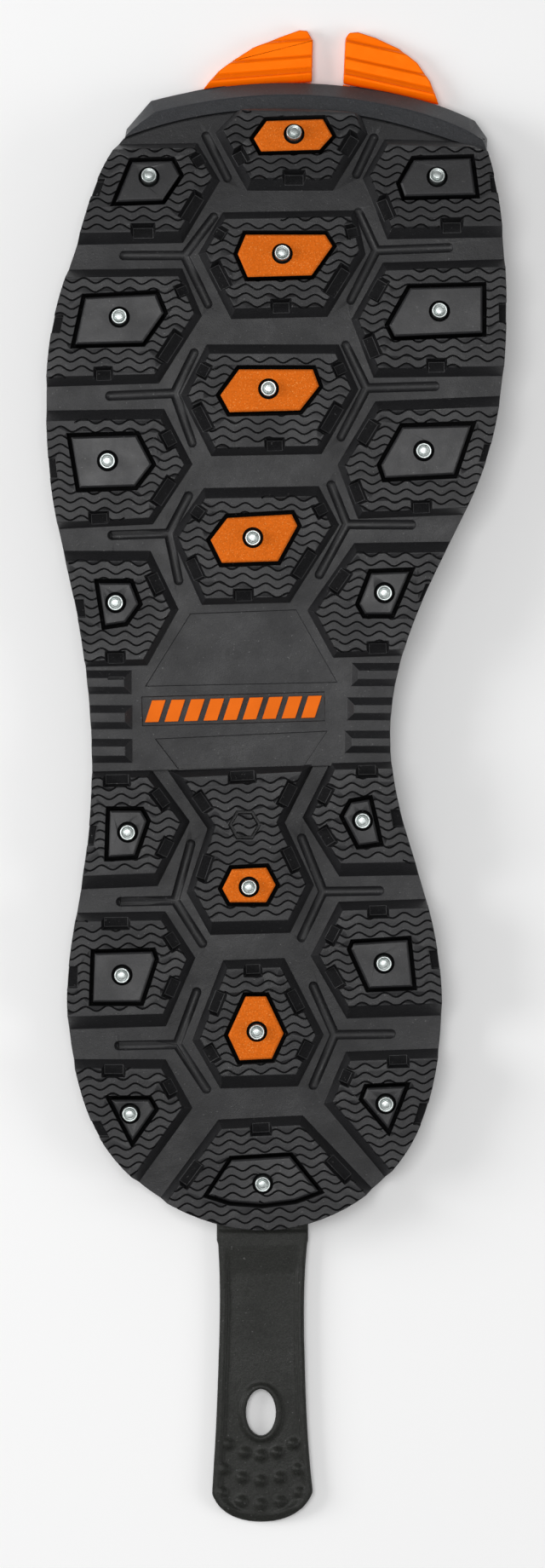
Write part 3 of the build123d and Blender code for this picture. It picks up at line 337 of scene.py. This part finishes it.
def moulded_rubber(name, colour, roughness=0.5, grain=0.00028, grain_depth=0.00005, specular=0.45):
    """Satin moulded rubber with a fine grain, cloudy patches and a little dust."""
    finish = Finish(name, colour, roughness, specular=specular)
    finish.tint(finish.ranged(finish.noise(0.03, 4), 0.4, 0.68, 0, 0.3), shade(colour, 1.6))
    finish.tint(finish.ranged(finish.noise(0.0004, 2), 0.4, 0.65, 0, 0.5), shade(colour, 2.4))
    finish.tint(finish.ranged(finish.noise(0.0007, 2), 0.68, 0.74, 0, 0.5), (0.14, 0.14, 0.14, 1))
    wear = finish.noise(0.012, 5)
    finish.rough(finish.ranged(wear, 0.3, 0.7, roughness - 0.08, roughness + 0.1))
    finish.bump(finish.noise(0.0025, 3), grain_depth * 2.0)
    finish.bump(finish.noise(grain, 2), grain_depth)
    return finish.material


def sandy_orange(name, colour):
    """Orange rubber filled with fine grit."""
    finish = Finish(name, colour, 0.6, specular=0.3, glint=ORANGE_GLINT)
    finish.tint(finish.ranged(finish.noise(0.0005, 3), 0.35, 0.7, 0, 0.8), shade(colour, 0.66))
    finish.tint(finish.ranged(finish.noise(0.00035, 1), 0.62, 0.72, 0, 0.6), (1.0, 0.40, 0.10, 1))
    finish.tint(finish.ranged(finish.noise(0.012, 2), 0.45, 0.7, 0, 0.35), shade(colour, 0.7))
    finish.rough(finish.ranged(finish.noise(0.0006, 2), 0.3, 0.7, 0.38, 0.6))
    finish.bump(finish.noise(0.0004, 3), 0.00005)
    return finish.material


def bright_orange(name, colour, roughness, waviness):
    """Clean moulded orange, with faint flow marks."""
    finish = Finish(name, colour, roughness, specular=0.6, glint=ORANGE_GLINT)
    finish.tint(finish.ranged(finish.noise(0.01, 2), 0.35, 0.7, 0, 0.3), shade(colour, 0.75))
    sheen = finish.noise(0.004, 3)
    finish.rough(finish.ranged(sheen, 0.3, 0.7, roughness - 0.06, roughness + 0.1))
    finish.bump(finish.noise(0.005, 2, stretch=(0.4, 1.5, 1)), waviness)
    finish.bump(finish.noise(0.0006, 2), 0.000012)
    return finish.material


def zinc_plate(name, colour, roughness):
    """Worn plated metal with fine scratches."""
    finish = Finish(name, colour, roughness, metallic=1.0)
    finish.tint(finish.ranged(finish.noise(0.0008, 3), 0.4, 0.7, 0, 0.6), shade(colour, 0.6))
    scratches = finish.noise(0.0005, 4, stretch=(1, 4, 1))
    finish.rough(finish.ranged(scratches, 0.3, 0.7, roughness - 0.1, roughness + 0.15))
    finish.bump(finish.noise(0.0003, 3), 0.00002)
    return finish.material


def floor_finish(tone):
    """Plain pale matte floor."""
    finish = Finish("pale_floor", (tone, tone, tone, 1), 0.9, specular=0.1)
    finish.tint(finish.noise(0.3, 1), (tone * 0.99, tone * 0.99, tone * 0.99, 1))
    return finish.material


# --------------------------------------------------------------------------- mesh helpers
def deselect_all():
    """Leaves nothing selected and no active object."""
    bpy.ops.object.select_all(action="DESELECT")
    bpy.context.view_layer.objects.active = None


def activate(piece):
    """Makes one object the only selected one."""
    deselect_all()
    piece.select_set(True)
    bpy.context.view_layer.objects.active = piece


def merged_copy(node, name, *materials):
    """Copy of a frame node with its triangles joined into flat faces without hollow sides."""
    piece = bpy.data.objects.new(name, NODES[node].data.copy())
    bpy.context.collection.objects.link(piece)
    piece.data.materials.clear()
    for material in materials:
        piece.data.materials.append(material)
    activate(piece)
    bpy.ops.object.mode_set(mode="EDIT")
    bpy.ops.mesh.select_mode(type="VERT")
    bpy.ops.mesh.select_all(action="SELECT")
    bpy.ops.mesh.remove_doubles(threshold=SAME_POINT)
    bpy.ops.mesh.dissolve_limited(angle_limit=radians(SAME_PLANE))
    bpy.ops.mesh.select_all(action="SELECT")
    bpy.ops.mesh.vert_connect_concave()
    bpy.ops.object.mode_set(mode="OBJECT")
    return piece


def soften(piece, width, segments=2, angle=28):
    """Rounds the edges of a piece that turn by more than angle, and shades it smoothly.

    The odd corner that the bevel throws clear of the piece is put back on its surface.
    """
    surface = BVHTree.FromPolygons(
        [vertex.co for vertex in piece.data.vertices],
        [face.vertices for face in piece.data.polygons],
    )
    activate(piece)
    bevel = piece.modifiers.new("edges", "BEVEL")
    bevel.width = width
    bevel.segments = segments
    bevel.limit_method = "ANGLE"
    bevel.angle_limit = radians(angle)
    bevel.use_clamp_overlap = False
    bevel.loop_slide = False
    bevel.miter_outer = "MITER_SHARP"
    bpy.ops.object.modifier_apply(modifier=bevel.name)
    for vertex in piece.data.vertices:
        nearest, _, _, distance = surface.find_nearest(vertex.co)
        if distance > width:
            vertex.co = nearest
    bpy.ops.object.shade_smooth_by_angle(angle=radians(SMOOTH_BELOW))


def cut(piece, cutter):
    """Takes the cutter's volume out of a piece; the cut gets the piece's second finish, the darker
    painted shade that stands for the shadow inside the cut.
    """
    for material in piece.data.materials:
        cutter.data.materials.append(material)
    for face in cutter.data.polygons:
        face.material_index = 1
    activate(piece)
    boolean = piece.modifiers.new("cut", "BOOLEAN")
    boolean.operation = "DIFFERENCE"
    boolean.object = cutter
    boolean.solver = "MANIFOLD"
    bpy.ops.object.modifier_apply(modifier=boolean.name)
    bpy.data.meshes.remove(cutter.data)


def level_shading(piece):
    """Makes the big flat faces shade flat, and leaves the blend to the rounded edges."""
    activate(piece)
    weighted = piece.modifiers.new("normals", "WEIGHTED_NORMAL")
    weighted.mode = "FACE_AREA"
    weighted.weight = 100
    weighted.keep_sharp = True
    bpy.ops.object.modifier_apply(modifier=weighted.name)


def finish_piece(piece, body, slot, *nodes):
    """Gives a piece its shading and its body, and hides the nodes that it stands for; the slot is
    not used.
    """
    level_shading(piece)
    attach(piece, body)
    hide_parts(*nodes)


def stud_axis(lug):
    """Tip of a lug's stud, and the direction that it points in."""
    joint = next(j for j in frame["joints"] if j["child"] == "pod_" + lug)
    normal = Vector(joint["axis"]).normalized()
    points = [vertex.co for vertex in NODES["stud_" + lug].data.vertices]
    top = max(point.dot(normal) for point in points)
    ring = [point for point in points if top - point.dot(normal) < PIN_RING]
    middle = [(min(p[axis] for p in ring) + max(p[axis] for p in ring)) / 2 for axis in range(3)]
    return Vector(middle), normal


# ---------------------------------------------------------------------------- the tread
def row_turn(lug):
    """Slant of a lug's sipes: the forefoot's rows fan out, and the heel's climb to the right."""
    if lug.startswith("heel"):
        return radians(HEEL_SLANT)
    return radians(FOREFOOT_SLANTS[int(lug[-1])])


def flat_patch(mesh, point, normal):
    """Corners of the triangles of the flat patch that lies nearest to point and faces normal."""
    shape = bmesh.new()
    shape.from_mesh(mesh)
    level = [face for face in shape.faces if face.normal.dot(normal) > PATCH_FACING
             and abs((face.verts[0].co - point).dot(normal)) < PATCH_REACH]
    patch = {min(level, key=lambda face: (face.calc_center_median() - point).length)}
    level = set(level)
    growing = list(patch)
    while growing:
        face = growing.pop()
        for edge in face.edges:
            for other in edge.link_faces:
                if other in level and other not in patch:
                    patch.add(other)
                    growing.append(other)
    edges = {edge for face in patch for edge in face.edges}
    ends = [(edge.verts[0].co.copy(), edge.verts[1].co.copy()) for edge in edges]
    shape.free()
    return ends


def add_sipes(shape, sizes, edges, point, normal, turn):
    """Adds the cutters of a flat patch's sipes: wavy bars that run as far as the patch does."""
    along = (Matrix.Rotation(turn, 3, normal) @ Vector((1, 0, 0))).normalized()
    up = normal.cross(along)
    level = point.dot(normal)
    spans = {}
    flat = [((a.dot(along), a.dot(up)), (b.dot(along), b.dot(up))) for a, b in edges]
    lows = min(min(a[1], b[1]) for a, b in flat)
    highs = max(max(a[1], b[1]) for a, b in flat)
    first = int(lows / sizes.pitch) - 1
    last = int(highs / sizes.pitch) + 1
    for line in range(first, last + 1):
        height = line * sizes.pitch
        reach = []
        for (ax, ay), (bx, by) in flat:
            if (ay - height) * (by - height) < 0:
                reach.append(ax + (bx - ax) * (height - ay) / (by - ay))
        if reach:
            spans[height] = (min(reach) - sizes.overrun, max(reach) + sizes.overrun)
    step = sizes.wave / sizes.steps
    for height, (start, end) in spans.items():
        count = int((end - start) / step) + 1
        bars = []
        for index in range(count + 1):
            x = start + index * step
            phase = 2 * pi * x / sizes.wave
            swing = sizes.swing / 2
            y = height + swing * sin(phase)
            slope = atan(swing * 2 * pi / sizes.wave * cos(phase))
            side = Vector((-sin(slope), cos(slope)))
            ring = []
            for wide, lift in BAR_SECTION:
                offset = side * wide * sizes.width
                rise = lift * sizes.depth
                place = along * (x + offset.x) + up * (y + offset.y) + normal * (level + rise)
                ring.append(shape.verts.new(place))
            bars.append(ring)
        for near, far in zip(bars, bars[1:]):
            for corner in range(len(BAR_SECTION)):
                after = (corner + 1) % len(BAR_SECTION)
                shape.faces.new((near[corner], near[after], far[after], far[corner]))
        shape.faces.new(reversed(bars[0]))
        shape.faces.new(bars[-1])


def sipe_cutter(shape):
    """Object that holds all sipe cutters."""
    mesh = bpy.data.meshes.new("sipes")
    bmesh.ops.recalc_face_normals(shape, faces=shape.faces)
    shape.to_mesh(mesh)
    shape.free()
    cutter = bpy.data.objects.new("sipes", mesh)
    bpy.context.collection.objects.link(cutter)
    return cutter


class OUTSOLE_OT_tread(bpy.types.Operator):
    """Softens the tread's edges and cuts wavy sipes into every lug"""

    bl_idname = "outsole.tread"
    bl_label = "Tread rubber"

    def execute(self, context):
        sizes = context.scene.outsole_tread
        colour = context.scene.outsole_finish.rubber
        rubber = moulded_rubber("tread_rubber_finish", colour)
        # Second finish: painted shade, a darker and matte copy of the rubber for the sipes' cut
        # faces and the notches' floors and walls
        painted_shade = moulded_rubber("tread_painted_shade", shade(colour, 0.6), roughness=0.75,
                                specular=0.12)
        tread = merged_copy("tread_rubber", "tread", rubber, painted_shade)
        shape = bmesh.new()
        for lug in LUGS:
            tip, normal = stud_axis(lug)
            point = tip - normal * sizes.face_below_pin
            patch = flat_patch(tread.data, point, normal)
            add_sipes(shape, sizes, patch, point, normal, row_turn(lug))
        soften(tread, sizes.edge)
        # Painted shade: the sipes' cut faces and the notches' floors and walls get the darker
        # second finish
        cut(tread, sipe_cutter(shape))
        self.paint_notch_shade(tread, sizes)
        bpy.ops.object.shade_smooth_by_angle(angle=radians(SMOOTH_BELOW))
        finish_piece(tread, ROOT, "tread_rubber", "tread_rubber")
        return {"FINISHED"}

    @staticmethod
    def paint_notch_shade(tread, sizes):
        """Paints shade onto the floors and leaning walls of the lugs' notches: they get the
        tread's second finish, the darker painted shade.
        """
        axes = [stud_axis(lug) for lug in LUGS]
        for face in tread.data.polygons:
            tip, normal = min(axes, key=lambda axis: (axis[0] - face.center).length_squared)
            level = (face.center - tip).dot(normal) + sizes.face_below_pin
            lean = face.normal.dot(normal)
            is_floor = lean > FLOOR_FACING and abs(level + sizes.notch) < FLOOR_REACH
            is_wall = -sizes.notch < level < -WALL_BELOW and WALL_LEAN[0] < lean < WALL_LEAN[1]
            if is_floor or is_wall:
                face.material_index = 1


class OUTSOLE_OT_inlay(bpy.types.Operator):
    """Softens the slanted marks inlaid across the arch"""

    bl_idname = "outsole.inlay"
    bl_label = "Arch inlay"

    def execute(self, context):
        material = bright_orange("inlay_finish", context.scene.outsole_finish.inlay, 0.42, 0.00001)
        inlay = merged_copy("arch_inlay", "inlay_marks", material)
        soften(inlay, context.scene.outsole_edges.pod)
        finish_piece(inlay, ROOT, "inlay_orange", "arch_inlay")
        return {"FINISHED"}


class OUTSOLE_OT_pods(bpy.types.Operator):
    """Softens the pods, and cuts sipes into the wide one at the heel's back"""

    bl_idname = "outsole.pods"
    bl_label = "Pods"

    def execute(self, context):
        edges = context.scene.outsole_edges
        sizes = context.scene.outsole_tread
        colours = context.scene.outsole_finish
        orange = sandy_orange("pod_orange_finish", colours.pod)
        black = moulded_rubber("pod_black_finish", colours.rubber, roughness=0.42,
                               grain_depth=0.00002)
        # Painted shade: a darker, matte copy of the rubber for the pods' faces that lie in shadow
        pod_shade = moulded_rubber("pod_painted_shade", shade(colours.rubber, 0.4), roughness=0.7,
                              specular=0.1)
        for lug in LUGS:
            is_orange = lug in ORANGE_LUGS
            face_finish = orange if is_orange else black
            pod = merged_copy("pod_" + lug, "finished_pod_" + lug, face_finish, pod_shade)
            tip, normal = stud_axis(lug)
            point = tip - normal * (sizes.face_below_pin - edges.pod_rise)
            shape = bmesh.new()
            if lug == "heel_back":
                patch = flat_patch(pod.data, point, normal)
                add_sipes(shape, sizes, patch, point, normal, row_turn(lug))
            soften(pod, edges.pod)
            if shape.verts:
                cut(pod, sipe_cutter(shape))
            # Faces below this height, in the stud's well and on the pod's sides, get the painted
            # shade
            shade_top = (tip - normal * edges.shade_from_tip).dot(normal)
            for face in pod.data.polygons:
                face.material_index = int(face.center.dot(normal) < shade_top)
            slot = "pod_orange" if is_orange else "pod_black"
            finish_piece(pod, "pod_" + lug, slot, "pod_" + lug)
        return {"FINISHED"}


class OUTSOLE_OT_studs(bpy.types.Operator):
    """Models one stud by hand, and sets a copy of it in every pod"""

    bl_idname = "outsole.studs"
    bl_label = "Studs"

    def execute(self, context):
        sizes = context.scene.outsole_stud
        colours = context.scene.outsole_finish
        zinc = zinc_plate("stud_zinc", colours.zinc, 0.36)
        carbide = zinc_plate("stud_pin", colours.carbide, 0.42)
        pattern = self.model_stud(sizes)
        for lug in LUGS:
            tip, normal = stud_axis(lug)
            stud = pattern.copy()
            stud.data = pattern.data.copy()
            stud.name = "finished_stud_" + lug
            context.collection.objects.link(stud)
            turn = Vector((0, 0, 1)).rotation_difference(normal).to_matrix().to_4x4()
            stud.data.transform(Matrix.Translation(tip) @ turn)
            stud.data.materials.append(zinc)
            stud.data.materials.append(carbide)
            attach(stud, "pod_" + lug)
            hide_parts("stud_" + lug)
        bpy.data.meshes.remove(pattern.data)
        return {"FINISHED"}

    @staticmethod
    def model_stud(sizes):
        """One stud with the tip of its pin at the origin: shank, head, dished rim and pin."""
        deselect_all()
        length = sizes.head_below - sizes.rim_below
        bpy.ops.mesh.primitive_cylinder_add(vertices=40, radius=sizes.shank / 2, depth=length,
                                            location=(0, 0, -sizes.rim_below - length / 2))
        stud = bpy.context.object
        bpy.ops.object.transform_apply(location=True, rotation=True, scale=True)
        bpy.ops.object.mode_set(mode="EDIT")
        bpy.ops.mesh.select_mode(type="FACE")
        above = -sizes.rim_below - FACE_REACH
        select_faces(stud, lambda face: face.calc_center_median().z > above)
        bpy.ops.mesh.inset(thickness=sizes.rim)
        bpy.ops.mesh.inset(thickness=sizes.dish)
        bpy.ops.transform.translate(value=(0, 0, -sizes.sink))
        below = -sizes.head_below + FACE_REACH
        select_faces(stud, lambda face: face.calc_center_median().z < below)
        bpy.ops.mesh.extrude_region_move()
        bpy.ops.transform.resize(value=(sizes.head / sizes.shank,) * 2 + (1,))
        bpy.ops.mesh.extrude_region_move(
            TRANSFORM_OT_translate={"value": (0, 0, sizes.head_below - sizes.foot_below)})
        bpy.ops.object.mode_set(mode="OBJECT")
        soften(stud, sizes.edge, segments=3)
        deselect_all()
        bpy.ops.mesh.primitive_cylinder_add(vertices=32, radius=sizes.pin / 2,
                                            depth=sizes.pin_length,
                                            location=(0, 0, -sizes.pin_length / 2))
        pin = bpy.context.object
        bpy.ops.object.transform_apply(location=True, rotation=True, scale=True)
        soften(pin, sizes.pin_edge, segments=3)
        for face in pin.data.polygons:
            face.material_index = 1
        stud.select_set(True)
        bpy.context.view_layer.objects.active = stud
        bpy.ops.object.join()
        return stud


def select_faces(piece, wanted):
    """Selects the faces of a piece in edit mode for which wanted is true."""
    shape = bmesh.from_edit_mesh(piece.data)
    for face in shape.faces:
        face.select_set(wanted(face))
    bmesh.update_edit_mesh(piece.data)


class OUTSOLE_OT_bumper(bpy.types.Operator):
    """Softens the toe bumper, and grains its upper face apart from its smooth bevel"""

    bl_idname = "outsole.bumper"
    bl_label = "Toe bumper"

    def execute(self, context):
        colour = context.scene.outsole_finish.bumper
        bevel = moulded_rubber("bumper_finish", colour, roughness=0.46, grain_depth=0.000012)
        grained = moulded_rubber("bumper_grain", shade(colour, 0.8), roughness=0.6, grain=0.00045,
                                 grain_depth=0.00009)
        bumper = merged_copy("toe_bumper", "bumper", bevel, grained)
        soften(bumper, context.scene.outsole_edges.bumper, segments=3)
        for face in bumper.data.polygons:
            face.material_index = int(face.normal.z > UPPER_FACE_FACES_UP)
        finish_piece(bumper, ROOT, "bumper_rubber", "toe_bumper")
        return {"FINISHED"}


class OUTSOLE_OT_plate(bpy.types.Operator):
    """Softens the carrier plate under the tread"""

    bl_idname = "outsole.plate"
    bl_label = "Carrier plate"

    def execute(self, context):
        colour = context.scene.outsole_finish.plate
        material = moulded_rubber("plate_finish", colour, roughness=0.58)
        plate = merged_copy("carrier_plate", "plate", material)
        soften(plate, context.scene.outsole_edges.plate)
        finish_piece(plate, ROOT, "plate_plastic", "carrier_plate")
        return {"FINISHED"}


class OUTSOLE_OT_toe_tab(bpy.types.Operator):
    """Softens the toe tab's base and its two shingled halves"""

    bl_idname = "outsole.toe_tab"
    bl_label = "Toe tab"

    def execute(self, context):
        material = bright_orange("tab_finish", context.scene.outsole_finish.tab, 0.22, 0.00012)
        for node, body in (("toe_tab_base", ROOT), ("toe_tab_left", "toe_tab_left"),
                           ("toe_tab_right", "toe_tab_right")):
            piece = merged_copy(node, node + "_finished", material)
            soften(piece, context.scene.outsole_edges.tab, segments=3)
            finish_piece(piece, body, "tab_orange", node)
        return {"FINISHED"}


class OUTSOLE_OT_heel_strap(bpy.types.Operator):
    """Makes one soft strap that runs out from under the heel"""

    bl_idname = "outsole.heel_strap"
    bl_label = "Heel strap"

    def execute(self, context):
        sizes = context.scene.outsole_strap
        colour = context.scene.outsole_finish.strap
        material = moulded_rubber("strap_finish", colour, roughness=0.4, specular=0.16)
        strap = merged_copy("heel_strap", "strap", material)
        anchor = merged_copy("heel_strap_anchor", "strap_root")
        low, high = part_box("heel_strap")
        root_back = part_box("heel_strap_anchor")[0][1]
        deselect_all()
        bridge_low = Vector((low[0] + sizes.side_room, root_back - sizes.lap,
                             low[2] + sizes.bottom_room))
        bridge_high = Vector((high[0] - sizes.side_room, root_back + sizes.reach,
                              sizes.bridge_top))
        bpy.ops.mesh.primitive_cube_add(size=1, location=(bridge_low + bridge_high) / 2)
        bridge = context.object
        bridge.scale = bridge_high - bridge_low
        bpy.ops.object.transform_apply(location=True, rotation=True, scale=True)
        bpy.ops.object.mode_set(mode="EDIT")
        bpy.ops.mesh.select_all(action="SELECT")
        bpy.ops.mesh.bevel(offset=sizes.bottom_room, segments=2, affect="EDGES")
        bpy.ops.object.mode_set(mode="OBJECT")
        anchor.select_set(True)
        strap.select_set(True)
        context.view_layer.objects.active = strap
        bpy.ops.object.join()
        remesh = strap.modifiers.new("one_skin", "REMESH")
        remesh.mode = "VOXEL"
        remesh.voxel_size = sizes.voxel
        bpy.ops.object.modifier_apply(modifier=remesh.name)
        smooth = strap.modifiers.new("soft_edges", "SMOOTH")
        smooth.factor = 0.5
        smooth.iterations = sizes.smoothing
        bpy.ops.object.modifier_apply(modifier=smooth.name)
        bpy.ops.object.shade_smooth()
        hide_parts("heel_strap", "heel_strap_anchor")
        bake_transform(strap)
        return {"FINISHED"}


class OUTSOLE_OT_stage(bpy.types.Operator):
    """Lays the floor, hangs the lights and sets the camera straight above the tread"""

    bl_idname = "outsole.stage"
    bl_label = "Stage"

    def execute(self, context):
        stage = context.scene.outsole_stage
        deselect_all()
        bpy.ops.mesh.primitive_plane_add(size=6)
        floor = context.object
        floor.name = "floor"
        floor.data.materials.append(floor_finish(stage.floor_tone))

        self.area_light("top_light", (-0.2, 0.1, 1.7), 0.8, stage.top_power)
        self.area_light("side_light", (-1.1, 0.1, 0.55), 0.6, stage.side_power)
        self.area_light("far_light", (1.0, -0.3, 0.6), 0.6, stage.far_power)

        world = bpy.data.worlds.new("room")
        world.use_nodes = True
        background = world.node_tree.nodes["Background"]
        background.inputs["Color"].default_value = (1, 1, 1, 1)
        background.inputs["Strength"].default_value = stage.world
        context.scene.world = world

        camera_data = bpy.data.cameras.new("camera")
        camera_data.lens = camera_data.sensor_width * stage.camera_height / stage.frame_height
        camera = bpy.data.objects.new("camera", camera_data)
        camera.location = (-0.001, -0.002, stage.camera_height)
        context.collection.objects.link(camera)
        context.scene.camera = camera
        context.scene.view_settings.view_transform = "Standard"
        return {"FINISHED"}

    @staticmethod
    def area_light(name, place, size, power):
        """A square soft light that looks at the middle of the sole."""
        data = bpy.data.lights.new(name, "AREA")
        data.size = size
        data.energy = power
        light = bpy.data.objects.new(name, data)
        light.location = place
        light.rotation_euler = (-Vector(place)).to_track_quat("-Z", "Y").to_euler()
        bpy.context.collection.objects.link(light)


class OUTSOLE_PT_panel(bpy.types.Panel):
    """Lists the operators that finish the outsole."""

    bl_label = "Outsole"
    bl_space_type = "VIEW_3D"
    bl_region_type = "UI"
    bl_category = "Outsole"

    def draw(self, context):
        for operator in OPERATORS:
            self.layout.operator(operator.bl_idname)
        for name in SETTINGS:
            settings = getattr(context.scene, name)
            box = self.layout.box()
            for key in settings.__annotations__:
                box.prop(settings, key)


OPERATORS = (
    OUTSOLE_OT_stage, OUTSOLE_OT_tread, OUTSOLE_OT_inlay, OUTSOLE_OT_pods, OUTSOLE_OT_studs,
    OUTSOLE_OT_bumper, OUTSOLE_OT_plate, OUTSOLE_OT_toe_tab, OUTSOLE_OT_heel_strap,
)
CLASSES = tuple(SETTINGS.values()) + OPERATORS + (OUTSOLE_PT_panel,)


def register():
    """Registers the settings, the operators and the panel."""
    for cls in CLASSES:
        bpy.utils.register_class(cls)
    for name, cls in SETTINGS.items():
        setattr(bpy.types.Scene, name, PointerProperty(type=cls))


def unregister():
    """Removes what register added."""
    for name in SETTINGS:
        delattr(bpy.types.Scene, name)
    for cls in reversed(CLASSES):
        bpy.utils.unregister_class(cls)


def main():
    """Runs the operators in order."""
    register()
    bpy.ops.outsole.stage()
    bpy.ops.outsole.tread()
    bpy.ops.outsole.inlay()
    bpy.ops.outsole.pods()
    bpy.ops.outsole.studs()
    bpy.ops.outsole.bumper()
    bpy.ops.outsole.plate()
    bpy.ops.outsole.toe_tab()
    bpy.ops.outsole.heel_strap()


if __name__ == "__main__":
    main()
